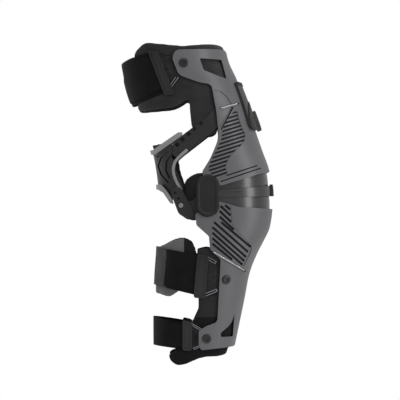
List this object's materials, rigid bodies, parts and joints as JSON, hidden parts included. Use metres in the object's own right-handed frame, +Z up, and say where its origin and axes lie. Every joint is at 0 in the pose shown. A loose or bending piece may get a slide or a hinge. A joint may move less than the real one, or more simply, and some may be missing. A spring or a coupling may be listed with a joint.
{
  "type": "knee guard",
  "caption": "Rigid knee guard for off-road motorcycling: thigh and shin frames on a geared two-axle hinge, sliding knee cups, webbing straps, padded liners and a flexible guide behind the knee.",
  "frame": {"origin": "on the mid plane, halfway between the two axles of the geared hinge", "axes": "+X is the way the wearer faces, +Z runs up the leg to the thigh, +Y is out of the leg to one side"},
  "size_m": [0.2003, 0.1768, 0.4168],
  "materials": {
    "alloy": "satin anodised",
    "black_plastic": "black moulded, fine texture",
    "cup_grey": "lighter grey, semi-gloss moulded",
    "grey_cloth": "grey knitted cloth over foam",
    "guide_grey": "mid-grey moulded",
    "liner_foam": "dark grey cloth over foam",
    "shell_grey": "satin mid-grey moulded shell",
    "steel": "brushed",
    "webbing": "black woven nylon webbing"
  },
  "bodies": {
    "thigh": {"guide_pad": "liner_foam", "guide_plate_lower": "guide_grey", "guide_plate_upper": "guide_grey", "guide_upper_arm_left": "black_plastic", "guide_upper_arm_right": "black_plastic", "rear_guide": "black_plastic", "tensioner_housing": "black_plastic", "thigh_bolt_left": "steel", "thigh_bolt_right": "steel", "thigh_buckle_left": "steel", "thigh_buckle_right": "steel", "thigh_cable_left": "steel", "thigh_cable_right": "steel", "thigh_frame": "shell_grey", "thigh_gear_left": "alloy", "thigh_gear_right": "alloy", "thigh_liner_left": "liner_foam", "thigh_liner_right": "liner_foam", "thigh_strap": "webbing", "thigh_tab_left": "webbing", "thigh_tab_right": "webbing"},
    "dial": {"reel_dial": "guide_grey"},
    "hinge_carrier": {"centre_knee_cup": "cup_grey", "condyle_pad_left": "liner_foam", "condyle_pad_right": "liner_foam", "guide_lower_arm_left": "black_plastic", "guide_lower_arm_right": "black_plastic", "guide_screw_left": "steel", "guide_screw_right": "steel", "hinge_cover_left": "black_plastic", "hinge_cover_right": "black_plastic", "hinge_plate_inner_left": "alloy", "hinge_plate_inner_right": "alloy", "hinge_plate_outer_left": "alloy", "hinge_plate_outer_right": "alloy"},
    "upper_cup": {"upper_knee_cup": "cup_grey"},
    "lower_cup": {"lower_knee_cup": "cup_grey"},
    "shin": {"calf_buckle_left": "steel", "calf_buckle_right": "steel", "calf_pad": "grey_cloth", "calf_strap": "webbing", "calf_tab_left": "webbing", "calf_tab_right": "webbing", "foot_bolt_left": "steel", "foot_bolt_right": "steel", "shin_bolt_left": "steel", "shin_bolt_right": "steel", "shin_buckle_left": "steel", "shin_buckle_right": "steel", "shin_cable_left": "steel", "shin_cable_right": "steel", "shin_frame": "shell_grey", "shin_gear_left": "alloy", "shin_gear_right": "alloy", "shin_liner_left": "liner_foam", "shin_liner_right": "liner_foam", "shin_strap": "webbing", "shin_tab_left": "webbing", "shin_tab_right": "webbing"}
  },
  "joints": [
    {"name": "knee_upper", "type": "hinge", "parent": "thigh", "child": "hinge_carrier", "pos_m": [0, 0, 0.0125], "axis": [0, 1, 0], "range_deg": [0, 55], "deforming": ["guide_pad", "guide_plate_lower", "guide_plate_upper", "rear_guide"]},
    {"name": "knee_lower", "type": "hinge", "parent": "hinge_carrier", "child": "shin", "pos_m": [0, 0, -0.0125], "axis": [0, 1, 0], "range_deg": [0, 55]},
    {"name": "upper_cup_slide", "type": "hinge", "parent": "hinge_carrier", "child": "upper_cup", "pos_m": [0, 0, 0.0125], "axis": [0, 1, 0], "range_deg": [-27.5, 0]},
    {"name": "lower_cup_slide", "type": "hinge", "parent": "hinge_carrier", "child": "lower_cup", "pos_m": [0, 0, -0.0125], "axis": [0, 1, 0], "range_deg": [0, 27.5]},
    {"name": "reel_turn", "type": "hinge", "parent": "thigh", "child": "dial", "pos_m": [0.06357, 0, 0.0975], "axis": [0.9447, 0, 0.328], "continuous": true}
  ],
  "couplings": [
    {"joint": "knee_lower", "follows": "knee_upper", "ratio": 1},
    {"joint": "upper_cup_slide", "follows": "knee_upper", "ratio": -0.5},
    {"joint": "lower_cup_slide", "follows": "knee_upper", "ratio": 0.5}
  ]
}
